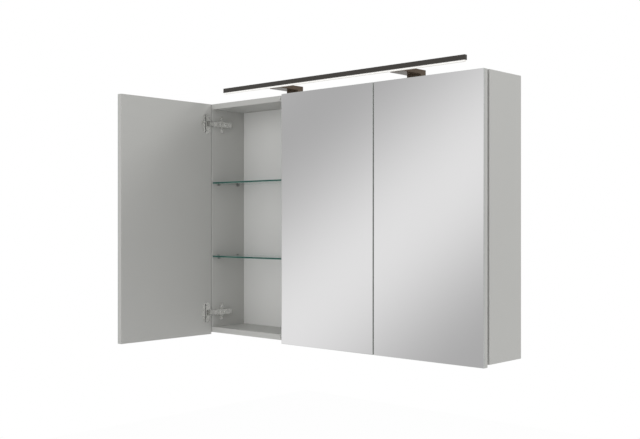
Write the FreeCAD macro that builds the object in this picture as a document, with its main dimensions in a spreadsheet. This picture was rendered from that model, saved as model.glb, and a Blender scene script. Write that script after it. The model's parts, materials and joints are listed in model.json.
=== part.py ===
"""Bathroom mirror cabinet with three mirror doors and a lamp bar on two arms.

Millimetres. The origin is midway between the two wall screws, on the wall.
+X runs to the right as seen from the room, +Y into the wall, +Z up.
"""
import FreeCAD, Part
import os
import re

import Sketcher

SIZES = {
    # Carcass boards
    "cabinet_width": 1000,
    "carcass_height": 692,
    "carcass_depth": 142,
    "board_thickness": 16,
    "back_thickness": 12,
    "board_rounding": 0.8,
    "hole_clearance": 0.1,
    # Dowels between the boards
    "dowel_radius": 4,
    "dowel_length": 30,
    "dowel_depth_in_face": 10,
    "dowel_setback": 30,
    # Wall fixing
    "wall_hole_drop": 52,
    "wall_hole_spacing": 500,
    "wall_hole_radius": 4.25,
    "hanger_width": 60,
    "hanger_height": 40,
    "hanger_thickness": 2,
    # Doors
    "door_gap": 6,
    "door_drop": 6,
    "side_reveal": 1,
    "door_seam": 3.5,
    "door_board_thickness": 12,
    "mirror_thickness": 4,
    "mirror_rounding": 0.6,
    "left_door_angle": 90,
    "bumper_radius": 4,
    "bumper_gap": 0.3,
    "bumper_edge_distance": 22,
    # Hinge cups in the doors
    "hinge_end_distance": 60,
    "eye_clearance": 0.6,
    "slot_clearance": 1,
    "side_pivot_depth": 4,
    "middle_pivot_inset": 10,
    "cup_edge_distance": 20.5,
    "cup_radius": 17.5,
    "cup_skin": 0.8,
    "cup_wall": 1,
    "cup_floor": 0.6,
    "flange_length": 62,
    "flange_width": 26,
    "flange_rim": 1,
    "flange_thickness": 1.2,
    "hinge_pin_radius": 1.2,
    "hinge_pin_clearance": 0.05,
    "cup_screw_spacing": 44,
    "cup_screw_radius": 1.75,
    "cup_screw_length": 9,
    "cup_screw_head_radius": 3.4,
    "cup_screw_head_height": 1.5,
    # Hinge arms and plates on the carcass
    "eye_radius": 2.1,
    "eye_width": 14,
    "neck_thickness": 2.6,
    "arm_board_gap": 1,
    "middle_riser_offset": 12,
    "arm_thickness": 2.5,
    "arm_width": 16,
    "arm_web_height": 9.5,
    "arm_step_setback": 8,
    "arm_tail_setback": 68,
    "arm_lip_thickness": 1.5,
    "arm_lip_height": 3,
    "plate_thickness": 2,
    "plate_front_setback": 15,
    "plate_back_setback": 49,
    "plate_width": 15,
    "wing_setback": 37,
    "wing_width": 12,
    "wing_length": 50,
    "saddle_width": 12,
    "saddle_margin": 3,
    "plate_screw_spacing": 32,
    "plate_screw_radius": 2,
    "plate_screw_length": 12,
    "plate_screw_head_radius": 3.7,
    "plate_screw_head_height": 1.8,
    "arm_screw_radius": 2,
    "arm_screw_length": 7,
    "arm_screw_head_radius": 3.6,
    "arm_screw_head_height": 2,
    "fixing_screw_setback": 41,
    "adjusting_screw_setback": 24,
    # Glass shelves and their pins
    "shelf_thickness": 5,
    "lower_shelf_height": 227.5,
    "upper_shelf_height": 450.5,
    "shelf_front_setback": 0.5,
    "shelf_back_gap": 4,
    "shelf_end_gap": 1,
    "shelf_rounding": 0.8,
    "shelf_pin_radius": 2.5,
    "shelf_pin_depth": 7,
    "shelf_pin_reach": 9,
    "shelf_pin_front_setback": 24,
    "shelf_pin_back_setback": 102.5,
    "clip_thickness": 0.7,
    "clip_width": 6,
    "clip_lip_height": 2,
    "clip_lip_reach": 5,
    # Lamp bar
    "lamp_length": 864,
    "lamp_depth": 10,
    "lamp_height": 12.8,
    "lamp_lift": 29.6,
    "lamp_overhang": 1.5,
    "lamp_wall": 1.2,
    "lamp_rounding": 0.6,
    "end_cap_thickness": 1.5,
    "diffuser_drop": 4,
    "diffuser_insertion": 4,
    "diffuser_wall": 1.2,
    "diffuser_rounding": 1,
    "led_board_width": 6,
    "led_board_thickness": 1.2,
    # Lamp arms
    "lamp_arm_seam_distance": 45.5,
    "lamp_arm_width": 45,
    "lamp_arm_height": 12,
    "lamp_arm_sink": 5.1,
    "lamp_arm_rear_setback": 101,
    "lamp_foot_depth": 23,
    "lamp_arm_rounding": 1.2,
    "lamp_screw_spacing": 24,
    "lamp_screw_radius": 2,
    "lamp_screw_bite": 12,
    "lamp_screw_head_radius": 4,
    "lamp_screw_head_height": 2.2,
    # Switch box under the top panel
    "switch_box_arm_gap": 19,
    "switch_box_width": 140,
    "switch_box_depth": 60,
    "switch_box_height": 36,
    "switch_box_front_setback": 38,
    "switch_wall": 2,
    "lid_clearance": 0.2,
    "lid_rim_height": 3,
    "box_screw_end_distance": 8,
    "box_screw_radius": 1.75,
    "box_screw_bite": 10,
    "box_screw_head_radius": 3.4,
    "box_screw_head_height": 1.8,
    "driver_width": 70,
    "driver_depth": 34,
    "driver_height": 20,
    "driver_end_distance": 13,
    "rocker_end_distance": 26,
    "rocker_width": 20,
    "rocker_height": 12,
    "rocker_front": 8,
    "rocker_back": 4,
    "rocker_hollow": 1.2,
    "rocker_tilt": 8,
    "rocker_window_clearance": 1.5,
    "rocker_pivot_setback": 5,
    "rocker_pin_radius": 1.5,
    "rocker_pin_clearance": 0.05,
    "rocker_pin_reach": 3,
    "rocker_side_gap": 0.5,
    "bearing_width": 3.5,
    "bearing_height": 8,
    "bearing_depth": 7,
    # Lead inlet
    "grommet_radius": 9,
    "grommet_bore_radius": 4,
    "grommet_neck_radius": 7,
    "grommet_lip": 1.5,
}

PLACES = {
    # Planes of the carcass
    "half_width": "cabinet_width / 2",
    "front": "-carcass_depth",
    "top_level": "wall_hole_drop",
    "floor_level": "top_level - carcass_height",
    "inner_floor": "floor_level + board_thickness",
    "inner_top": "top_level - board_thickness",
    "back_face": "-back_thickness",
    "side_face": "half_width - board_thickness",
    # Doors and the seams between them
    "door_width": "(cabinet_width - 2 * side_reveal - 2 * door_seam) / 3",
    "seam_centre": "(door_width + door_seam) / 2",
    "partition_near": "seam_centre - board_thickness / 2",
    "partition_far": "seam_centre + board_thickness / 2",
    "door_inner_face": "front - door_gap",
    "door_bottom": "floor_level - door_drop",
    "cup_depth": "door_board_thickness - cup_skin",
    "slot_width": "eye_width + 2 * slot_clearance",
    "slot_near": "eye_radius + eye_clearance",
    "middle_pivot_depth": "cup_depth - cup_floor - slot_near",
    "eye_reach": "sqrt((cup_radius - cup_wall)^2 - slot_width^2 / 4) - slot_near",
    "side_pivot_inset": "cup_edge_distance - eye_reach",
    "left_pivot": "-half_width + side_reveal + side_pivot_inset",
    "middle_pivot": "-seam_centre + door_seam / 2 + middle_pivot_inset",
    "right_pivot": "-left_pivot",
    "side_pivot_plane": "door_inner_face - side_pivot_depth",
    "middle_pivot_plane": "door_inner_face - middle_pivot_depth",
    "lower_hinge": "floor_level + hinge_end_distance",
    "upper_hinge": "top_level - hinge_end_distance",
    "side_riser_offset": "board_thickness - side_reveal - side_pivot_inset + arm_board_gap",
    "arm_web_top": "arm_web_height + arm_thickness",
    # Shelves
    "lower_shelf": "floor_level + lower_shelf_height",
    "upper_shelf": "floor_level + upper_shelf_height",
    "clip_height": "shelf_thickness + clip_lip_height",
    # Lamp
    "lamp_front": "front - lamp_overhang",
    "lamp_rear": "lamp_front + lamp_depth",
    "lamp_bottom": "top_level + lamp_lift",
    "lamp_top": "lamp_bottom + lamp_height",
    "lamp_half_profile": "lamp_length / 2 - end_cap_thickness",
    "lamp_centre": "lamp_front + lamp_depth / 2",
    "diffuser_half": "lamp_depth / 2 - lamp_wall - hole_clearance",
    "arm_under": "lamp_bottom - lamp_arm_sink",
    "arm_over": "arm_under + lamp_arm_height",
    "foot_rear": "front + lamp_arm_rear_setback",
    "foot_front": "foot_rear - lamp_foot_depth",
    "foot_middle": "foot_rear - lamp_foot_depth / 2",
    "arm_place": "partition_far + lamp_arm_seam_distance",
    # Switch box
    "box_left": "arm_place + lamp_arm_width / 2 + switch_box_arm_gap",
    "box_right": "box_left + switch_box_width",
    "box_front": "front + switch_box_front_setback",
    "box_rear": "box_front + switch_box_depth",
    "box_bottom": "inner_top - switch_box_height",
    "box_roof": "inner_top - switch_wall",
    "box_middle": "inner_top - switch_box_height / 2",
    "rocker_place": "box_left + rocker_end_distance",
    "rocker_pivot": "box_front + rocker_pivot_setback",
    "bearing_near": "rocker_width / 2 + rocker_side_gap",
    "inlet_place": "box_right - driver_end_distance - driver_width / 2",
}

LEFT = "left"
RIGHT = "right"
WORDS = re.compile(r"[a-z_]+")
TURN_TO = {
    "x": FreeCAD.Rotation(FreeCAD.Vector(0, 1, 0), 90),
    "y": FreeCAD.Rotation(FreeCAD.Vector(1, 0, 0), -90),
    "z": FreeCAD.Rotation(),
}
UP = FreeCAD.Vector(0, 0, 1)
TOUCH = 0.01

doc = FreeCAD.newDocument("MirrorCabinet")
subparts = []


def bound(text, at_home=""):
    """The text as an expression, each word pointing at the sheet that holds it."""
    def owner(match):
        word = match.group()
        for sheet, words in (("Sizes", SIZES), ("Places", PLACES)):
            if word in words and sheet != at_home:
                return f"{sheet}.{word}"
        return word
    return WORDS.sub(owner, str(text))


def fill_sheet(name, values, prefix=""):
    """A spreadsheet with one named cell for each value."""
    sheet = doc.addObject("Spreadsheet::Sheet", name)
    for row, (alias, value) in enumerate(values.items(), start=1):
        sheet.set(f"A{row}", alias)
        sheet.setAlias(f"B{row}", alias)
        sheet.set(f"B{row}", prefix + bound(value, name))
    doc.recompute()


def size(alias):
    """A driving size as a number."""
    return float(doc.Sizes.get(alias))


def put(piece, x="0", y="0", z="0"):
    """Bind the place of a piece."""
    for axis, text in zip("xyz", (x, y, z)):
        piece.setExpression(".Placement.Base." + axis, bound(text))
    return piece


def slab(name, x, y, z):
    """A box between two planes on each axis."""
    box = doc.addObject("Part::Box", name)
    for side, (low, high) in zip(("Length", "Width", "Height"), (x, y, z)):
        box.setExpression(side, bound(f"({high}) - ({low})"))
    return put(box, x[0], y[0], z[0])


def rod(name, axis, centre, span, radius):
    """A round bar along an axis, centred on the other two coordinates in their order."""
    bar = doc.addObject("Part::Cylinder", name)
    bar.Placement.Rotation = TURN_TO[axis]
    bar.setExpression("Radius", bound(radius))
    bar.setExpression("Height", bound(f"({span[1]}) - ({span[0]})"))
    spot = list(centre)
    spot.insert("xyz".index(axis), span[0])
    return put(bar, *spot)


def rounded(name, piece, radius):
    """The piece with all its edges rounded."""
    doc.recompute()
    soft = doc.addObject("Part::Fillet", name)
    soft.Base = piece
    soft.Edges = [(edge, radius, radius) for edge in range(1, len(piece.Shape.Edges) + 1)]
    return soft


def join(name, pieces):
    """One solid from pieces that touch or overlap."""
    whole = doc.addObject("Part::MultiFuse", name)
    whole.Shapes = pieces
    return whole


def group(name, pieces):
    """Separate solids kept together."""
    together = doc.addObject("Part::Compound", name)
    together.Links = pieces
    return together


def cut(name, piece, tools):
    """The piece with the tools taken out of it."""
    rest = doc.addObject("Part::Cut", name)
    rest.Base = piece
    rest.Tool = tools[0] if len(tools) == 1 else group(name + "_tools", tools)
    return rest


def keep(piece, label):
    """Hand the piece in under its own name."""
    piece.Label = label
    subparts.append(piece)
    return piece


def about(centre, width):
    """The span of a width centred on a place."""
    return (f"({centre}) - ({width}) / 2", f"({centre}) + ({width}) / 2")


def toward(hand, start, low, high):
    """The span from low to high off a face, to the right of a left hand and the other way."""
    if hand == LEFT:
        return (f"({start}) + ({low})", f"({start}) + ({high})")
    return (f"({start}) - ({high})", f"({start}) - ({low})")


def screw(name, axis, centre, seat, kind, length, head_way):
    """A round-headed screw: its head stands on the seat, its shank runs the other way."""
    head = (seat, f"({seat}) + {kind}_head_height")
    shank = (f"({seat}) - ({length})", seat)
    if head_way < 0:
        head = (f"({seat}) - {kind}_head_height", seat)
        shank = (seat, f"({seat}) + ({length})")
    parts = [
        rod(name + "_head", axis, centre, head, f"{kind}_head_radius"),
        rod(name + "_shank", axis, centre, shank, f"{kind}_radius"),
    ]
    return join(name, parts)


def screw_hole(name, axis, centre, span, kind):
    """A hole that clears the shank of a screw."""
    return rod(name, axis, centre, span, f"{kind}_radius + hole_clearance")


DOORS = {
    "left_door": {
        "hand": LEFT,
        "pivot": "left_pivot",
        "plane": "side_pivot_plane",
        "inset": "side_pivot_inset",
        "depth": "side_pivot_depth",
        "riser": "side_riser_offset",
        "face": "-side_face",
    },
    "middle_door": {
        "hand": LEFT,
        "pivot": "middle_pivot",
        "plane": "middle_pivot_plane",
        "inset": "middle_pivot_inset",
        "depth": "middle_pivot_depth",
        "riser": "middle_riser_offset",
        "face": "-partition_near",
    },
    "right_door": {
        "hand": RIGHT,
        "pivot": "right_pivot",
        "plane": "side_pivot_plane",
        "inset": "side_pivot_inset",
        "depth": "side_pivot_depth",
        "riser": "side_riser_offset",
        "face": "side_face",
    },
}
HINGES = ("lower_hinge", "upper_hinge")
SHELVES = ("lower_shelf", "upper_shelf")
PIN_ROWS = ("front + shelf_pin_front_setback", "front + shelf_pin_back_setback")
DOWEL_ROWS = ("front + dowel_setback", "-dowel_setback")
ENDS = (-1, 1)
# Each compartment: the panel on its left and on its right, with the faces that look into it
COMPARTMENTS = {
    "left": (("left_side", "-side_face"), ("left_partition", "-partition_far")),
    "middle": (("left_partition", "-partition_near"), ("right_partition", "partition_near")),
    "right": (("right_partition", "partition_far"), ("right_side", "side_face")),
}
bores = {}


def bore(panel, tool):
    """Note a hole that a panel gets when it is cut."""
    bores.setdefault(panel, []).append(tool)


def make_dowels():
    """Wooden dowels across the butt joints, with a hole in each of the two boards."""
    dowels = []
    in_edge = "dowel_length - dowel_depth_in_face"
    levels = {"bottom_panel": "floor_level + board_thickness / 2",
              "top_panel": "top_level - board_thickness / 2"}
    for panel, level in levels.items():
        for hand, side, face in ((LEFT, "left_side", "-side_face"), (RIGHT, "right_side", "side_face")):
            span = toward(hand, face, "-dowel_depth_in_face", in_edge)
            for row, depth in enumerate(DOWEL_ROWS):
                name = f"{panel}_{side}_dowel_{row}"
                dowels.append(rod(name, "x", (depth, level), span, "dowel_radius"))
                hole = rod(name + "_hole", "x", (depth, level), span, "dowel_radius + hole_clearance")
                bore(panel, hole)
                bore(side, hole)
    ends = {"bottom_panel": (LEFT, "inner_floor"), "top_panel": (RIGHT, "inner_top")}
    for panel, (hand, face) in ends.items():
        span = toward(hand, face, "-dowel_depth_in_face", in_edge)
        for side, place in (("left_partition", "-seam_centre"), ("right_partition", "seam_centre")):
            for row, depth in enumerate(DOWEL_ROWS):
                name = f"{panel}_{side}_dowel_{row}"
                dowels.append(rod(name, "z", (place, depth), span, "dowel_radius"))
                hole = rod(name + "_hole", "z", (place, depth), span, "dowel_radius + hole_clearance")
                bore(panel, hole)
                bore(side, hole)
    keep(group("dowels", dowels), "carcass_dowels")


def make_shelves():
    """Glass shelves, each on four steel pins with a clip that holds the glass down."""
    pins = []
    depth = ("front + shelf_front_setback", "back_face - shelf_back_gap")
    for side, ((left_panel, left_face), (right_panel, right_face)) in COMPARTMENTS.items():
        for level in SHELVES:
            name = f"{side}_{level}"
            width = (f"{left_face} + shelf_end_gap", f"{right_face} - shelf_end_gap")
            glass = slab(name + "_blank", width, depth, (level, f"{level} + shelf_thickness"))
            keep(rounded(name + "_glass", glass, size("shelf_rounding")), name)
            seats = ((LEFT, left_panel, left_face), (RIGHT, right_panel, right_face))
            for hand, panel, face in seats:
                for row, place in enumerate(PIN_ROWS):
                    pin_name = f"{name}_{hand}_pin_{row}"
                    centre = (place, f"{level} - shelf_pin_radius")
                    shank = toward(hand, face, "-shelf_pin_depth", "shelf_pin_reach")
                    strip = toward(hand, face, "0", "clip_thickness")
                    lip = toward(hand, face, "0", "clip_lip_reach")
                    broad = about(place, "clip_width")
                    parts = [
                        rod(pin_name + "_shank", "x", centre, shank, "shelf_pin_radius"),
                        slab(pin_name + "_strip", strip, broad,
                             (f"{level} - 2 * shelf_pin_radius", f"{level} + clip_height")),
                        slab(pin_name + "_lip", lip, broad,
                             (f"{level} + shelf_thickness", f"{level} + clip_height")),
                    ]
                    pins.append(join(pin_name, parts))
                    hole = rod(pin_name + "_hole", "x", centre,
                               toward(hand, face, "-shelf_pin_depth", "0"),
                               "shelf_pin_radius + hole_clearance")
                    bore(panel, hole)
    keep(group("pins", pins), "shelf_pins")


def make_hinge_plate(name, hand, face, level):
    """A cross-shaped plate with a raised saddle, and its two screws into the panel."""
    thin = toward(hand, face, "0", "plate_thickness")
    body = slab(name + "_strip", thin, ("front + plate_front_setback", "front + plate_back_setback"),
                about(level, "plate_width"))
    wing = slab(name + "_wing", thin, about("front + wing_setback", "wing_width"),
                about(level, "wing_length"))
    saddle = slab(name + "_saddle", toward(hand, face, "0", "arm_web_height"),
                  ("front + plate_front_setback + saddle_margin",
                   "front + plate_back_setback - saddle_margin"),
                  about(level, "saddle_width"))
    whole = join(name + "_blank", [body, wing, saddle])
    holes = []
    screws = []
    head_way = 1 if hand == LEFT else -1
    seat = toward(hand, face, "plate_thickness", "plate_thickness")[0]
    for end in ENDS:
        centre = ("front + wing_setback", f"{level} + {end} * plate_screw_spacing / 2")
        tag = f"{name}_screw_{end + 1}"
        screws.append(screw(tag, "x", centre, seat, "plate_screw", "plate_screw_length", head_way))
        span = toward(hand, face, "plate_thickness - plate_screw_length", "plate_thickness")
        hole = screw_hole(tag + "_hole", "x", centre, span, "plate_screw")
        holes.append(hole)
    for setback in ("fixing_screw_setback", "adjusting_screw_setback"):
        centre = (f"front + {setback}", level)
        span = toward(hand, face, "arm_web_top - arm_screw_length", "arm_web_height")
        holes.append(screw_hole(f"{name}_{setback}", "x", centre, span, "arm_screw"))
    keep(cut(name, whole, holes), name)
    return screws, holes[:len(ENDS)]


def make_hinge_arm(name, door, level):
    """A cranked channel arm from its seat on the plate to the eye round the hinge pin."""
    hand, face, pivot, plane = door["hand"], door["face"], door["pivot"], door["plane"]
    riser = door["riser"]
    narrow = about(level, "eye_width")
    wide = about(level, "arm_width")
    eye = rod(name + "_eye", "z", (pivot, plane), narrow, "eye_radius")
    neck = slab(name + "_neck", toward(hand, pivot, "0", f"{riser} + arm_thickness"),
                about(plane, "neck_thickness"), narrow)
    step_end = "front + arm_step_setback + arm_thickness"
    upright = slab(name + "_riser", toward(hand, pivot, riser, f"{riser} + arm_thickness"),
                   (f"{plane} - neck_thickness / 2", step_end), narrow)
    near_pivot = toward(hand, pivot, riser, f"{riser} + arm_thickness")
    near_face = toward(hand, face, "arm_web_height", "arm_web_top")
    across = (f"min({near_pivot[0]}; {near_face[0]})", f"max({near_pivot[1]}; {near_face[1]})")
    step = slab(name + "_step", across, ("front + arm_step_setback", step_end), wide)
    run = ("front + arm_step_setback", "front + arm_tail_setback")
    web = slab(name + "_web", near_face, run, wide)
    parts = [eye, neck, upright, step, web]
    for end in ENDS:
        outer = f"{level} + {end} * arm_width / 2"
        inner = f"{level} + {end} * (arm_width / 2 - arm_lip_thickness)"
        span = (outer, inner) if end < 0 else (inner, outer)
        lip = slab(f"{name}_lip_{end + 1}", toward(hand, face, "arm_lip_height", "arm_web_top"), run, span)
        parts.append(lip)
    holes = [rod(name + "_bore", "z", (pivot, plane), narrow, "hinge_pin_radius + hinge_pin_clearance")]
    screws = []
    head_way = 1 if hand == LEFT else -1
    seat = toward(hand, face, "arm_web_top", "arm_web_top")[0]
    for setback in ("fixing_screw_setback", "adjusting_screw_setback"):
        centre = (f"front + {setback}", level)
        tag = f"{name}_{setback}"
        screws.append(screw(tag, "x", centre, seat, "arm_screw", "arm_screw_length", head_way))
        holes.append(screw_hole(tag + "_hole", "x", centre, near_face, "arm_screw"))
    keep(cut(name, join(name + "_blank", parts), holes), name)
    return screws


def make_hinges():
    """Two hinges for each door: a plate and an arm on the carcass."""
    plate_screws = []
    arm_screws = []
    panel_of = {"left_door": "left_side", "middle_door": "left_partition", "right_door": "right_side"}
    for door_name, door in DOORS.items():
        for level in HINGES:
            name = f"{door_name}_{level}"
            screws, holes = make_hinge_plate(name + "_plate", door["hand"], door["face"], level)
            plate_screws.extend(screws)
            for hole in holes:
                bore(panel_of[door_name], hole)
            arm_screws.extend(make_hinge_arm(name + "_arm", door, level))
    keep(group("plate_screws", plate_screws), "hinge_plate_screws")
    keep(group("arm_screws", arm_screws), "hinge_arm_screws")


def hang(piece, door):
    """Move a piece that is made about its hinge pin to the pin's place, turned with its door."""
    angle = size("left_door_angle") if door["pivot"] == "left_pivot" else 0
    piece.Placement.Rotation = FreeCAD.Rotation(UP, -angle)
    return put(piece, door["pivot"], door["plane"], "0")


def make_hinge_cup(name, door, centre, level):
    """A cup with a slot for the arm and a flange on the door's inner face, its pin and its two screws."""
    hand, depth, inset = door["hand"], door["depth"], door["inset"]
    spot = (centre, level)
    top = f"{depth} + flange_thickness"
    straight = "flange_length - flange_width"
    shell = [
        rod(name + "_body", "y", spot, (f"{depth} - cup_depth", depth), "cup_radius"),
        rod(name + "_rim", "y", spot, (depth, top), "cup_radius + flange_rim"),
        slab(name + "_flange", about(centre, "flange_width"), (depth, top), about(level, straight)),
    ]
    screws = []
    slot_far = f"{door['riser']} + arm_thickness + slot_clearance"
    holes = [slab(name + "_slot", toward(hand, "0", "-slot_near", slot_far),
                  ("-slot_near", top), about(level, "slot_width"))]
    for end in ENDS:
        ear = (centre, f"{level} + {end} * ({straight}) / 2")
        shell.append(rod(f"{name}_ear_{end + 1}", "y", ear, (depth, top), "flange_width / 2"))
        seat = (centre, f"{level} + {end} * cup_screw_spacing / 2")
        tag = f"{name}_screw_{end + 1}"
        screws.append(screw(tag, "y", seat, top, "cup_screw", "cup_screw_length", 1))
        holes.append(screw_hole(tag + "_hole", "y", seat, (f"{top} - cup_screw_length", top), "cup_screw"))
    far_side = f"cup_edge_distance - {inset} + hinge_pin_radius"
    reach = f"2 * (sqrt(cup_radius^2 - ({far_side})^2) - hole_clearance)"
    pin = rod(name + "_pin", "z", ("0", "0"), about(level, reach), "hinge_pin_radius")
    cup = cut(name, join(name + "_shell", shell), holes + [pin])
    bore_tool = rod(name + "_bore", "y", spot, (f"{depth} - cup_depth", depth), "cup_radius + hole_clearance")
    return cup, pin, screws, [bore_tool] + holes[1:]


def make_door(name, door):
    """A mirror on a board, with two hinge cups let into the back of the board."""
    hand, depth, inset = door["hand"], door["depth"], door["inset"]
    width = toward(hand, "0", f"-{inset}", f"door_width - {inset}")
    tall = ("door_bottom", "top_level")
    glue = f"{depth} - door_board_thickness"
    blank = slab(name + "_blank", width, (glue, depth), tall)
    glass = slab(name + "_glass", width, (f"{glue} - mirror_thickness", glue), tall)
    centre = toward(hand, "0", f"cup_edge_distance - {inset}", "0")[0 if hand == LEFT else 1]
    cups, pins, screws, holes = [], [], [], []
    for level in HINGES:
        cup, pin, cup_screws, cup_holes = make_hinge_cup(f"{name}_{level}_cup", door, centre, level)
        cups.append(cup)
        pins.append(pin)
        screws.extend(cup_screws)
        holes.extend(cup_holes)
    soft_board = rounded(name + "_soft_board", blank, size("board_rounding"))
    pieces = {
        "board": cut(name + "_holed_board", soft_board, holes),
        "mirror": rounded(name + "_soft_glass", glass, size("mirror_rounding")),
        "hinge_cups": group(name + "_cups", cups),
        "hinge_pins": group(name + "_pins", pins),
        "cup_screws": group(name + "_screws", screws),
    }
    for piece_name, piece in pieces.items():
        keep(hang(piece, door), f"{name}_{piece_name}")


def make_bumpers():
    """Soft stops on the front edges of the top and bottom panels, near each door's free edge."""
    free_edges = {
        "left_door": "-seam_centre - bumper_edge_distance",
        "middle_door": "seam_centre - bumper_edge_distance",
        "right_door": "seam_centre + bumper_edge_distance",
    }
    levels = ("floor_level + board_thickness / 2", "top_level - board_thickness / 2")
    bumpers = []
    for door_name, place in free_edges.items():
        for row, level in enumerate(levels):
            bumpers.append(rod(f"{door_name}_bumper_{row}", "y", (place, level),
                               ("door_inner_face + bumper_gap", "front"), "bumper_radius"))
    keep(group("bumpers", bumpers), "door_bumpers")


def make_wall_fixing():
    """A steel plate inside the back at each wall screw."""
    plates = []
    for end in ENDS:
        place = f"{end} * wall_hole_spacing / 2"
        blank = slab(f"hanger_{end + 1}_blank", about(place, "hanger_width"),
                     ("back_face - hanger_thickness", "back_face"), about("0", "hanger_height"))
        hole = rod(f"hanger_{end + 1}_hole", "y", (place, "0"),
                   ("back_face - hanger_thickness", "0"), "wall_hole_radius")
        plates.append(cut(f"hanger_{end + 1}", blank, [hole]))
        bore("back_panel", hole)
    keep(group("hangers", plates), "hanger_plates")


def make_panels():
    """The boards of the carcass, with the holes that the other pieces asked for."""
    full_depth = ("front", "0")
    inner_depth = ("front", "back_face")
    full_height = ("floor_level", "top_level")
    inner_height = ("inner_floor", "inner_top")
    between_sides = ("-side_face", "side_face")
    panels = {
        "left_side": (("-half_width", "-side_face"), full_depth, full_height),
        "right_side": (("side_face", "half_width"), full_depth, full_height),
        "top_panel": (between_sides, full_depth, ("inner_top", "top_level")),
        "bottom_panel": (between_sides, full_depth, ("floor_level", "inner_floor")),
        "back_panel": (between_sides, ("back_face", "0"), inner_height),
        "left_partition": (about("-seam_centre", "board_thickness"), inner_depth, inner_height),
        "right_partition": (about("seam_centre", "board_thickness"), inner_depth, inner_height),
    }
    for name, (x, y, z) in panels.items():
        blank = slab(name + "_blank", x, y, z)
        soft = rounded(name + "_soft", blank, size("board_rounding"))
        keep(cut(name, soft, bores[name]), name)


def number(text):
    """The value of an expression on the sheets, as a number."""
    return float(doc.Places.evalExpression(bound(text)))


def profile_bar(name, corners, length):
    """A bar of one straight-sided profile in the YZ plane, half its length to each side of X = 0."""
    body = doc.addObject("PartDesign::Body", name)
    sketch = body.newObject("Sketcher::SketchObject", name + "_profile")
    plane = next(item for item in body.Origin.OriginFeatures if item.Role == "YZ_Plane")
    sketch.AttachmentSupport = (plane, "")
    sketch.MapMode = "FlatFace"
    spots = [FreeCAD.Vector(number(across), number(up), 0) for across, up in corners]
    for side, spot in enumerate(spots):
        sketch.addGeometry(Part.LineSegment(spot, spots[(side + 1) % len(spots)]), False)
    for side in range(len(spots)):
        sketch.addConstraint(Sketcher.Constraint("Coincident", side, 2, (side + 1) % len(spots), 1))
    for side, corner in enumerate(corners):
        for way, text in zip(("DistanceX", "DistanceY"), corner):
            held = sketch.addConstraint(Sketcher.Constraint(way, -1, 1, side, 1, number(text)))
            sketch.setExpression(f"Constraints[{held}]", bound(text))
    pad = body.newObject("PartDesign::Pad", name + "_pad")
    pad.Profile = sketch
    pad.Midplane = True
    pad.setExpression("Length", bound(length))
    doc.recompute()
    return body, pad


def soften(body, pad, wanted, radius):
    """Round the edges of a bar that a test on their middles picks."""
    edges = [f"Edge{index}" for index, edge in enumerate(pad.Shape.Edges, start=1)
             if wanted(edge.CenterOfMass)]
    fillet = body.newObject("PartDesign::Fillet", body.Name + "_rounding")
    fillet.Base = (pad, edges)
    fillet.setExpression("Radius", bound(radius))
    doc.recompute()


def make_lamp_bar():
    """A channel open below, with a light strip, a trough-shaped diffuser and two end caps."""
    inside = ("lamp_front + lamp_wall", "lamp_rear - lamp_wall")
    ceiling = "lamp_top - lamp_wall"
    channel = [
        ("lamp_front", "lamp_bottom"), (inside[0], "lamp_bottom"), (inside[0], ceiling),
        (inside[1], ceiling), (inside[1], "lamp_bottom"), ("lamp_rear", "lamp_bottom"),
        ("lamp_rear", "lamp_top"), ("lamp_front", "lamp_top"),
    ]
    body, pad = profile_bar("lamp_channel", channel, "2 * lamp_half_profile")
    roof = number("lamp_top")
    soften(body, pad, lambda spot: abs(spot.z - roof) < TOUCH and abs(spot.x) < TOUCH, "lamp_rounding")
    keep(body, "lamp_housing")

    outer = about("lamp_centre", "2 * diffuser_half")
    inner = about("lamp_centre", "2 * (diffuser_half - diffuser_wall)")
    low = "lamp_bottom - diffuser_drop"
    rim = "lamp_bottom + diffuser_insertion"
    trough = [
        (outer[0], rim), (outer[0], low), (outer[1], low), (outer[1], rim),
        (inner[1], rim), (inner[1], f"{low} + diffuser_wall"),
        (inner[0], f"{low} + diffuser_wall"), (inner[0], rim),
    ]
    body, pad = profile_bar("lamp_trough", trough, "2 * lamp_half_profile")
    keel = number(low)
    soften(body, pad, lambda spot: abs(spot.z - keel) < TOUCH and abs(spot.x) < TOUCH, "diffuser_rounding")
    keep(body, "lamp_diffuser")

    strip = slab("led_strip", ("-lamp_half_profile", "lamp_half_profile"),
                 about("lamp_centre", "led_board_width"), (f"{ceiling} - led_board_thickness", ceiling))
    keep(strip, "led_board")

    caps = []
    for hand, place in ((LEFT, "-lamp_length / 2"), (RIGHT, "lamp_length / 2")):
        span = toward(hand, place, "0", "end_cap_thickness")
        cap = slab(f"{hand}_cap", span, ("lamp_front", "lamp_rear"), ("lamp_bottom", "lamp_top"))
        caps.append(cap)
    keep(group("caps", caps), "lamp_end_caps")


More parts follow.
